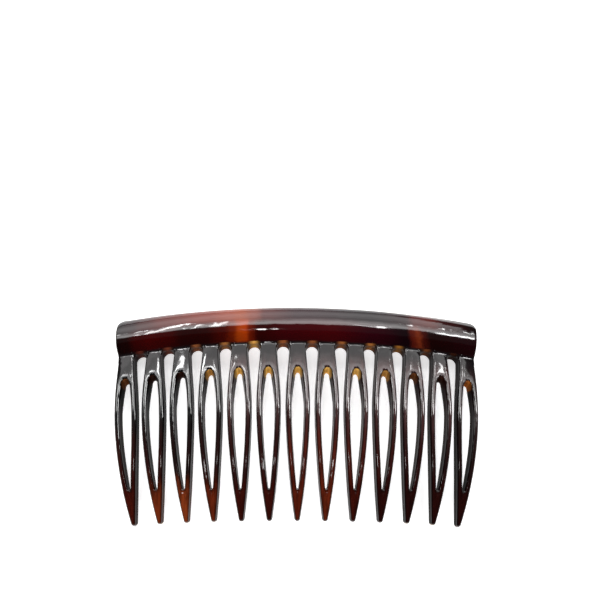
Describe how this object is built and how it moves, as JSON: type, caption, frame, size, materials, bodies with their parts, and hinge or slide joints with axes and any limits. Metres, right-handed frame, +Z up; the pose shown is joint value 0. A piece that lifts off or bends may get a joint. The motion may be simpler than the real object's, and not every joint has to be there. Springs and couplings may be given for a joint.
{
  "type": "side hair comb",
  "caption": "Curved side hair comb: a rounded bar carries a row of long bowed teeth, each slit down its middle, that slide into the hair and grip it.",
  "frame": {"origin": "centre of the bounding box, on the plane the comb rests on", "axes": "+X along the bar, +Y from the tips of the teeth to the bar, +Z up, out of the convex front; the concave back faces down, and the comb rests on the two lower corners of the bar and the tips of the two outer teeth"},
  "size_m": [0.09, 0.0526, 0.0139],
  "materials": {
    "bar_plastic": "gloss",
    "dark_plastic": "gloss",
    "warm_plastic": "gloss"
  },
  "bodies": {
    "root": {"spine_bar": "bar_plastic", "tooth_01": "dark_plastic", "tooth_02": "warm_plastic", "tooth_03": "warm_plastic", "tooth_04": "warm_plastic", "tooth_05": "dark_plastic", "tooth_06": "dark_plastic", "tooth_07": "warm_plastic", "tooth_08": "warm_plastic", "tooth_09": "dark_plastic", "tooth_10": "dark_plastic", "tooth_11": "dark_plastic", "tooth_12": "dark_plastic", "tooth_13": "dark_plastic"}
  },
  "joints": []
}
